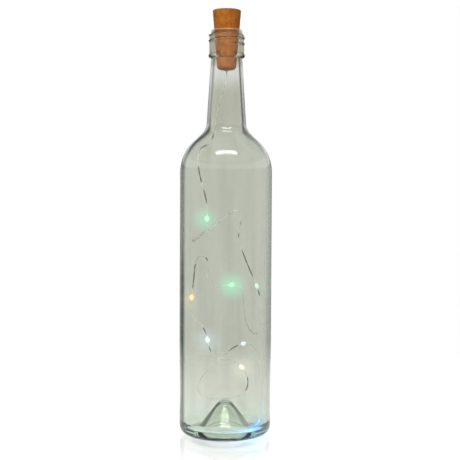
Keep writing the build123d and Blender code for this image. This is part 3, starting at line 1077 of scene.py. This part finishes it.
@dataclass
class LightString:
    """Wire pair of the lights: two twisted strands and the glowing resin drops on them."""

    # Line of the pair.
    diameter: float = 0.001
    neck_point: int = 5
    run_points: int = 10
    # Strands; the fade of the painted dark stretches is in runs of the route.
    strand_radius: float = 0.00021
    strand_offset: float = 0.00034
    twist_pitch: float = 0.022
    spacing: float = 0.0004
    sides: int = 6
    painted_shade_fade: float = 0.4
    # Resin drops.
    drop_length: float = 0.006
    drop_waist: float = 0.0034
    drop_tip: float = 0.0014
    drop_segments: int = 24
    drop_rings: int = 18

    def route(self) -> list[Vector]:
        """Lists the route's points, from the seal's face to the far end beside the punt."""
        _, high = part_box("lead_wire")
        return [Vector((0.0, 0.0, high.z))] + [Vector(point) for point in ROUTE_BELOW_SEAL]

    def lights(self) -> list[tuple[Vector, LightHue]]:
        """Lists the place and colour of each light."""
        route = self.route()
        return [((route[light.run] + route[light.run + 1]) / 2, light.hue) for light in LIGHTS]

    def centreline(self, route: Sequence[Vector]) -> Mesh:
        """Reads the smooth line of the route as a mesh of points and edges.

        Args:
            route: control points of the line.

        Returns:
            The line's mesh, in order from the seal.
        """
        curve = bpy.data.curves.new("wire_route", "CURVE")
        curve.dimensions = "3D"
        spline = curve.splines.new("NURBS")
        spline.points.add(len(route) - 1)
        for point, place in zip(spline.points, route):
            point.co = (*place, 1.0)
        spline.order_u = 3
        spline.use_endpoint_u = True
        spline.resolution_u = self.run_points
        guide = add_object("wire_route", curve)
        mesh = shown_mesh(guide)
        bpy.data.objects.remove(guide)
        return mesh

    def mark_painted_shade(self, line: Mesh, runs: int) -> None:
        """Marks the stretches painted dark as shade on the wire's line.

        Args:
            line: the line's mesh, in order from the seal.
            runs: number of runs of the route.
        """
        painted_shade = line.attributes.new("painted_shade", "FLOAT", "POINT")
        last = len(line.vertices) - 1
        for number, mark in enumerate(painted_shade.data):
            # The line's spans are even, and each goes from the middle of a run to that of the next.
            place = number / last * (runs - 1) + 0.5
            depth = max(min(place - start, end - place) for start, end in PAINTED_SHADE_STRETCHES)
            mark.value = min(1.0, max(0.0, 0.5 + depth / self.painted_shade_fade))

    def strand_tree(self, material: Material) -> GeometryTree:
        """Writes the tree that winds two strands about the line.

        Args:
            material: finish of the strands.

        Returns:
            The tree, with its sizes set.
        """
        tree = GeometryTree(
            "twin_strand",
            Strand_Radius=self.strand_radius,
            Strand_Offset=self.strand_offset,
            Twist_Pitch=self.twist_pitch,
            Spacing=self.spacing,
            Sides=self.sides,
            Wire=material,
        )
        line = tree.value("GeometryNodeMeshToCurve", {0: tree.size("Geometry")})
        steps = {"Curve": line, "Length": tree.size("Spacing")}
        even = tree.value("GeometryNodeResampleCurve", steps, mode="LENGTH")
        side = tree.value("GeometryNodeInputNormal")
        across = tree.vector("CROSS_PRODUCT", tree.value("GeometryNodeInputTangent"), side)
        length = tree.value("GeometryNodeSplineParameter", output="Length")
        angle = length / tree.size("Twist Pitch") * (2 * math.pi)
        circle = {"Resolution": tree.size("Sides"), "Radius": tree.size("Strand Radius")}
        section = tree.value("GeometryNodeCurvePrimitiveCircle", circle)
        joined = tree.add("GeometryNodeJoinGeometry")
        for number in range(2):
            turn = angle + number * math.pi
            reach = tree.math("COSINE", turn) * tree.size("Strand Offset")
            lift = tree.math("SINE", turn) * tree.size("Strand Offset")
            push = tree.vector("ADD", tree.scaled(side, reach), tree.scaled(across, lift))
            sweep = {"Curve": tree.move(even, Offset=push), "Profile Curve": section, "Fill Caps": True}
            strand = tree.value("GeometryNodeCurveToMesh", sweep)
            tree.link(tree.store(strand, "strand", float(number)), joined.inputs[0])
        tree.finish(Signal(tree, joined.outputs[0]), tree.size("Wire"))
        return tree

    def drop_tree(self, material: Material) -> GeometryTree:
        """Writes the tree that sets a resin drop on every point, along that point's direction.

        Args:
            material: finish of the drops.

        Returns:
            The tree, with its sizes set.
        """
        tree = GeometryTree(
            "resin_drops",
            Half_Length=self.drop_length / 2,
            Waist_Radius=self.drop_waist / 2,
            Tip_Radius=self.drop_tip / 2,
            Segments=self.drop_segments,
            Rings=self.drop_rings,
            Resin=material,
        )
        unit = {"Segments": tree.size("Segments"), "Rings": tree.size("Rings"), "Radius": 1.0}
        ball = tree.value("GeometryNodeMeshUVSphere", unit)
        place = tree.position()
        _, _, height = tree.split(place)
        core = 1 - height * height
        girth = (tree.size("Waist Radius") - tree.size("Tip Radius")) * core + tree.size("Tip Radius")
        scale = tree.combine(girth, girth, tree.size("Half Length"))
        drop = tree.move(tree.store(ball, "core", core), Position=tree.vector("MULTIPLY", place, scale))
        along = {"Vector": tree.stored("along", "FLOAT_VECTOR")}
        aim = tree.value("FunctionNodeAlignRotationToVector", along, axis="Z")
        string = {"Points": tree.size("Geometry"), "Instance": drop, "Rotation": aim}
        tree.finish(tree.value("GeometryNodeInstanceOnPoints", string), tree.size("Resin"))
        return tree

    def build_drops(self, route: Sequence[Vector], hue: LightHue) -> Object:
        """Makes the drops of one colour and puts them in the place of their CAD nodes.

        Args:
            route: points of the wire.
            hue: colour of these lights.

        Returns:
            One piece with all drops of that colour.
        """
        numbers = [number for number, light in enumerate(LIGHTS) if light.hue is hue]
        runs = [LIGHTS[number].run for number in numbers]
        mesh = bpy.data.meshes.new(f"drops_{hue.slot}")
        mesh.from_pydata([(route[run] + route[run + 1]) / 2 for run in runs], [], [])
        along = mesh.attributes.new("along", "FLOAT_VECTOR", "POINT")
        for place, run in zip(along.data, runs):
            place.vector = route[run + 1] - route[run]
        piece = add_object(mesh.name, mesh)
        self.drop_tree(GlowingDrop(hue).material()).settle(piece)
        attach(piece, "bottle")
        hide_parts(*[f"led_bead_{number + 1}" for number in numbers])
        return piece

    def build(self, nodes: dict[str, Object], finish: Material) -> list[Object]:
        """Makes the wire and its drops, and lights the chips.

        Args:
            nodes: CAD nodes by name.
            finish: material of the wire.

        Returns:
            The pieces of the string.
        """
        route = self.route()
        line = self.centreline(route)
        self.mark_painted_shade(line, len(route) - 1)
        wire = add_object("wire_pair", line)
        self.strand_tree(finish).settle(wire)
        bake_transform(wire)
        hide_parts("lead_wire", "light_wire")
        drops = [self.build_drops(route, hue) for hue in LightHue]
        chips = [nodes[f"led_chip_{number + 1}"] for number in range(len(LIGHTS))]
        for chip, light in zip(chips, LIGHTS):
            dress(chip, GlowingChip(light.hue).material())
        return [wire, *drops, *chips]


def dress(node: Object, material: Material) -> None:
    """Gives a CAD node its material."""
    node.data.materials.clear()
    node.data.materials.append(material)


@dataclass
class Stopper:
    """Cork-shaped stopper: its two shells and the cells, contacts, board and switch in it."""

    shells: tuple[str, ...] = ("cork_cap", "cork_sleeve")
    wire_end: str = "lead_tail"

    def build(self, nodes: dict[str, Object], wire: Material) -> list[Object]:
        """Dresses the stopper's CAD nodes.

        Args:
            nodes: CAD nodes by name.
            wire: material of the wire pair.

        Returns:
            The pieces of the stopper.
        """
        finishes = dict.fromkeys(self.shells, CorkPlastic().material())
        for finish in FITTINGS:
            finishes.update(dict.fromkeys(finish.nodes, finish.material()))
        finishes[self.wire_end] = wire
        for name, material in finishes.items():
            dress(nodes[name], material)
        return [nodes[name] for name in finishes]


@dataclass(frozen=True)
class SoftLamp:
    """Rectangular lamp: where it hangs, what it shines at, its two sides, its power in watts and
    whether glass and gloss show it."""

    name: str
    place: Point
    aim: Point
    size: Span
    power: float
    mirrored: bool

    def build(self) -> None:
        """Hangs the lamp in the scene."""
        lamp = bpy.data.lights.new(self.name, "AREA")
        lamp.shape = "RECTANGLE"
        lamp.size, lamp.size_y = self.size
        lamp.energy = self.power
        holder = add_object(self.name, lamp)
        holder.location = self.place
        beam = Vector(self.aim) - Vector(self.place)
        holder.rotation_euler = beam.to_track_quat("-Z", "Y").to_euler()
        holder.visible_glossy = self.mirrored
        holder.visible_transmission = self.mirrored


@dataclass
class Studio:
    """White floor and surroundings, soft lamps and the photograph's camera."""

    # Camera; its turns and its view angle are in degrees.
    eye: Point = (0.0, -0.86, 0.195)
    pitch: float = -1.96
    yaw: float = 0.226
    roll: float = 0.30
    view_angle: float = 24.4
    nearest: float = 0.01
    # Floor, with a painted shade under and before the bottle.
    floor_radius: float = 0.6
    floor_clear: float = 0.20
    floor_sides: int = 96
    floor_colour: Colour = (0.85, 0.85, 0.85)
    floor_roughness: float = 0.06
    floor_lift: float = 0.52
    floor_loss: float = 0.10
    base_shade: float = 0.28
    shade_centre: Point = (0.0, -0.03, 0.0)
    shade_reach: Point = (0.062, 0.085, 1.0)
    # Brightness of the surroundings, where 1 is white, for each kind of ray.
    ambient: float = 0.16
    seen_through: float = 0.75
    mirrored: float = 0.10
    horizon: float = 1.0
    horizon_loss: float = 0.6
    horizon_rise: Band = (0.12, 0.15, 0.32, 0.40)
    turned_loss: float = 0.45
    dim_side: Span = (0.2, -0.2)
    # Lamps, and the spill of the lowest light on the floor.
    key: SoftLamp = SoftLamp(
        "key_light",
        place=(-0.40, -1.25, 0.85),
        aim=(0.0, 0.0, 0.17),
        size=(0.5, 0.5),
        power=11.5,
        mirrored=False,
    )
    strip: SoftLamp = SoftLamp(
        "strip_light",
        place=(0.01, -0.50, 0.95),
        aim=(0.0, 0.0, 0.22),
        size=(0.76, 0.14),
        power=3.0,
        mirrored=True,
    )
    spill_power: float = 0.015
    spill_size: float = 0.002
    spill_offset: Point = (0.0, -0.004, 0.003)

    def build(self, place: Vector, hue: LightHue) -> None:
        """Makes everything around the object.

        Args:
            place: where the light nearest to the floor is.
            hue: its colour.
        """
        self.build_camera()
        self.build_world()
        self.build_floor()
        self.key.build()
        self.strip.build()
        self.build_spill(place, hue)

    def build_spill(self, place: Vector, hue: LightHue) -> None:
        """Makes the spill that a light throws on the floor through the glass.

        Args:
            place: where the light is.
            hue: its colour.
        """
        lamp = bpy.data.lights.new(f"spill_{hue.slot}", "POINT")
        lamp.color = hue.rim
        lamp.energy = self.spill_power
        lamp.shadow_soft_size = self.spill_size
        holder = add_object(lamp.name, lamp)
        holder.location = place + Vector(self.spill_offset)
        holder.visible_glossy = False
        holder.visible_transmission = False

    def build_camera(self) -> None:
        """Makes the camera at the photograph's viewing angle."""
        camera = bpy.data.cameras.new("camera")
        camera.sensor_fit = "HORIZONTAL"
        camera.angle = math.radians(self.view_angle)
        camera.clip_start = self.nearest
        holder = add_object("camera", camera)
        holder.location = self.eye
        aim = Euler((math.radians(90 + self.pitch), 0.0, math.radians(-self.yaw))).to_matrix()
        turn = Matrix.Rotation(math.radians(self.roll), 3, "Z")
        holder.rotation_euler = (aim @ turn).to_euler()
        bpy.context.scene.camera = holder

    def build_world(self) -> None:
        """Makes white surroundings, dimmer where they light a surface, show through glass or mirror."""
        world = bpy.data.worlds.new("surroundings")
        bpy.context.scene.world = world
        world.use_nodes = True
        tree = TreeWriter(world.node_tree)
        tree.tree.nodes.clear()
        _, ahead, rise = tree.split(tree.value("ShaderNodeTexCoord", output="Generated"))
        through = tree.ray("Is Transmission Ray")
        mirror = tree.ray("Is Glossy Ray") * (1 - through)
        turned = tree.bounced("Glossy") * ahead.step(*self.dim_side)
        direct = 1 - tree.bounced("Diffuse") - turned * self.turned_loss
        behind = tree.bounced("Transmission") * self.horizon_loss
        low = mirror * rise.band(*self.horizon_rise) * (1 - behind)
        level = tree.ray("Is Camera Ray") * (1 - self.ambient) + self.ambient
        level += through * direct * (self.seen_through - self.ambient)
        level += mirror * (self.mirrored - self.ambient)
        level += low * (self.horizon - self.mirrored)
        light = tree.value("ShaderNodeBackground", {"Color": opaque(WHITE), "Strength": level})
        tree.link(light, tree.add("ShaderNodeOutputWorld").inputs["Surface"])

    def build_floor(self) -> None:
        """Makes the pale floor, which keeps the shadow, takes a painted shade under and before the bottle
        and fades into the white surroundings.
        """
        form = bmesh.new()
        bmesh.ops.create_circle(form, cap_ends=True, segments=self.floor_sides, radius=self.floor_radius)
        mesh = bpy.data.meshes.new("floor")
        form.to_mesh(mesh)
        form.free()
        shader = Shader("floor")
        through = shader.ray("Is Transmission Ray")
        seen = shader.math("MAXIMUM", shader.ray("Is Camera Ray"), shader.ray("Is Glossy Ray"))
        seen = shader.math("MAXIMUM", seen, through) * (1 - shader.bounced("Diffuse"))
        where = shader.place()
        apart = shader.vector("SUBTRACT", where, self.shade_centre)
        apart = shader.vector("DIVIDE", apart, self.shade_reach)
        # Painted shade: the floor's glow is lowered in an oval under and before the bottle, and
        # everywhere it is seen through glass.
        lost = shader.distance(apart).step(1.0, 0.0) * self.base_shade + through * self.floor_loss
        ground = shader.principled(
            Base_Color=opaque(self.floor_colour),
            Roughness=self.floor_roughness,
            Emission_Color=opaque(WHITE),
            Emission_Strength=seen * (self.floor_lift - lost),
        )
        fade = shader.distance(where).step(self.floor_clear, self.floor_radius)
        shader.show_mix(fade, ground, shader.value("ShaderNodeBsdfTransparent"))
        mesh.materials.append(shader.material)
        add_object("floor", mesh)


def main() -> None:
    """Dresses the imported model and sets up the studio."""
    logging.basicConfig(level=logging.INFO, format="%(message)s")
    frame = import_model()
    nodes = frame["nodes"]
    bpy.context.scene.view_settings.view_transform = "Standard"
    wire = TwinWire().material()
    string = LightString()
    lights = string.lights()

    pieces = [Bottle().build(ClearGlass().material(lights))]
    pieces += string.build(nodes, wire)
    pieces += Stopper().build(nodes, wire)
    Studio().build(*lights[-1])
    for piece in pieces:
        LOG.info("%s: %d faces", piece.name, len(piece.data.polygons))


if __name__ == "__main__":
    main()
